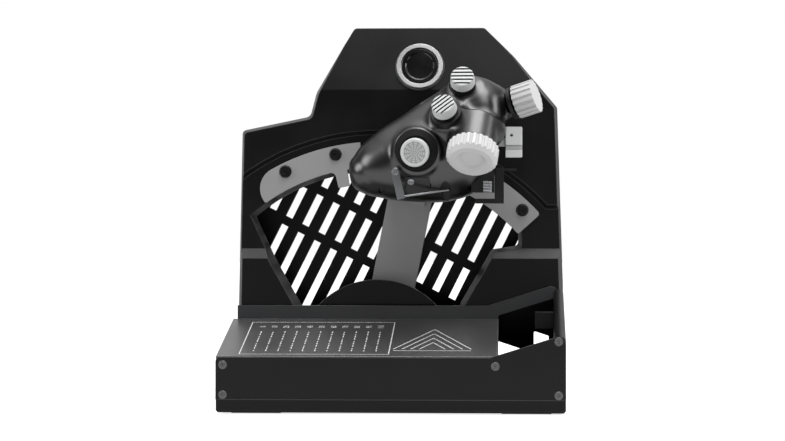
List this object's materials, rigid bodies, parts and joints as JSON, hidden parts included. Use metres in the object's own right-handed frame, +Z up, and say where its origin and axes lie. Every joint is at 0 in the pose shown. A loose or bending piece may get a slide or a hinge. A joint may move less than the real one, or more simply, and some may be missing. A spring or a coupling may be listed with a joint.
{
  "type": "throttle quadrant",
  "caption": "Desk-top flight throttle: slotted upright housing, low sloped box, swinging arm and a sculpted grip with knobs, hats, mini-stick and levers.",
  "frame": {"origin": "centre of the footprint on the desk", "axes": "+Z up; +X to the aircraft's nose, to the right as the pilot sees it; +Y away from the pilot, from the low box's front plate to the slotted rear plate"},
  "size_m": [0.24, 0.165, 0.2738],
  "materials": {
    "black_metal": "satin",
    "black_shell": "satin",
    "black_steel": "satin",
    "rubber": "matte",
    "steel": "satin",
    "grey_plate": "satin",
    "plastic_black": "matte",
    "board_green": "satin",
    "satin_ring": "satin",
    "brass_post": "satin",
    "grey_arm": "satin",
    "grip_shell": "satin",
    "light_grey": "satin",
    "button_black": "gloss"
  },
  "bodies": {
    "root": {"base_plate": "black_metal", "rubber_feet": "rubber", "ballast_block": "steel", "front_plate": "black_metal", "front_plate_screws": "black_steel", "top_plate": "black_metal", "left_end_wall": "black_metal", "bay_wall": "black_metal", "right_end_wall": "black_metal", "plinth_strip": "black_metal", "front_cover": "black_shell", "hub_cover": "black_shell", "left_arc_plate": "grey_plate", "right_arc_plate": "grey_plate", "arc_plate_screws": "black_steel", "rear_plate": "black_shell", "rear_plate_screws": "black_steel", "front_bearing_bracket": "steel", "rear_bearing_bracket": "steel", "pivot_bearings": "steel", "friction_washer": "plastic_black", "sensor_board": "board_green", "button_bezel": "satin_ring", "button_nut": "plastic_black", "button_switch": "plastic_black", "board_standoffs": "brass_post", "main_board": "board_green", "cable_socket": "plastic_black"},
    "throttle": {"throttle_arm": "grey_arm", "pivot_shaft": "steel", "sensor_magnet": "steel", "grip_neck": "grey_arm", "neck_screws": "black_steel", "grip_front_shell": "grip_shell", "grip_rear_shell": "grip_shell", "stick_boot": "rubber", "upper_hat_collar": "plastic_black", "upper_hat_pin": "steel", "lower_hat_collar": "plastic_black", "lower_hat_pin": "steel", "comm_switch_pin": "steel", "paddle_pin": "steel", "lever_plate": "plastic_black", "lever_plate_screw": "steel", "latch_bracket": "plastic_black", "latch_clip": "steel"},
    "stick_gimbal_ring": {"stick_gimbal": "steel"},
    "mini_stick": {"mini_stick": "light_grey"},
    "upper_hat": {"upper_hat": "light_grey"},
    "lower_hat": {"lower_hat": "light_grey"},
    "range_spindle": {"range_spindle": "plastic_black"},
    "range_knob": {"range_knob": "light_grey"},
    "antenna_knob": {"antenna_knob": "light_grey"},
    "comm_switch": {"comm_switch": "light_grey"},
    "paddle_lever": {"paddle_lever": "black_steel"},
    "finger_lift": {"finger_lift": "plastic_black"},
    "push_button": {"push_button": "button_black"}
  },
  "joints": [
    {"name": "throttle_swing", "type": "hinge", "parent": "root", "child": "throttle", "pos_m": [-0.0153, 0.0275, 0.0304], "axis": [0, 1, 0], "range_deg": [-42, 24]},
    {"name": "stick_tilt_up_down", "type": "hinge", "parent": "throttle", "child": "stick_gimbal_ring", "pos_m": [0.01691, -0.04256, 0.18149], "axis": [0.9949, -0.101, 0], "range_deg": [-12, 12], "stiffness_Nm_per_rad": 0.02},
    {"name": "stick_tilt_left_right", "type": "hinge", "parent": "stick_gimbal_ring", "child": "mini_stick", "pos_m": [0.01691, -0.04256, 0.18149], "axis": [-0.0141, -0.1393, 0.9901], "range_deg": [-12, 12], "stiffness_Nm_per_rad": 0.02},
    {"name": "upper_hat_tilt", "type": "hinge", "parent": "throttle", "child": "upper_hat", "pos_m": [0.04916, -0.02518, 0.22422], "axis": [0.9983, -0.058, 0], "range_deg": [-11, 11], "stiffness_Nm_per_rad": 0.02},
    {"name": "lower_hat_tilt", "type": "hinge", "parent": "throttle", "child": "lower_hat", "pos_m": [0.03861, -0.03845, 0.20348], "axis": [0.7798, 0.2083, 0.5904], "range_deg": [-11, 11], "stiffness_Nm_per_rad": 0.02},
    {"name": "range_turn", "type": "hinge", "parent": "throttle", "child": "range_spindle", "pos_m": [0.08221, -0.0185, 0.21503], "axis": [0.9209, -0.2602, 0.2903], "range_deg": [-150, 150]},
    {"name": "range_press", "type": "slide", "parent": "range_spindle", "child": "range_knob", "axis": [-0.9209, 0.2602, -0.2903], "range_m": [0, 0.0012], "stiffness_N_per_m": 800},
    {"name": "antenna_turn", "type": "hinge", "parent": "throttle", "child": "antenna_knob", "pos_m": [0.05631, -0.0519, 0.18253], "axis": [-0.1201, -0.6005, -0.7906], "range_deg": [-150, 150]},
    {"name": "comm_switch_rock", "type": "hinge", "parent": "throttle", "child": "comm_switch", "pos_m": [0.07251, -0.0215, 0.18783], "axis": [0, 1, 0], "range_deg": [-7, 7], "stiffness_Nm_per_rad": 0.02},
    {"name": "paddle_squeeze", "type": "hinge", "parent": "throttle", "child": "paddle_lever", "pos_m": [0.00181, -0.0475, 0.16663], "axis": [0, 1, 0], "range_deg": [0, 8], "stiffness_Nm_per_rad": 0.02},
    {"name": "finger_lift_slide", "type": "slide", "parent": "throttle", "child": "finger_lift", "axis": [0, 0, 1], "range_m": [0, 0.004], "stiffness_N_per_m": 400},
    {"name": "button_press", "type": "slide", "parent": "root", "child": "push_button", "axis": [0, 0.9659, -0.2588], "range_m": [0, 0.0025], "stiffness_N_per_m": 800}
  ]
}
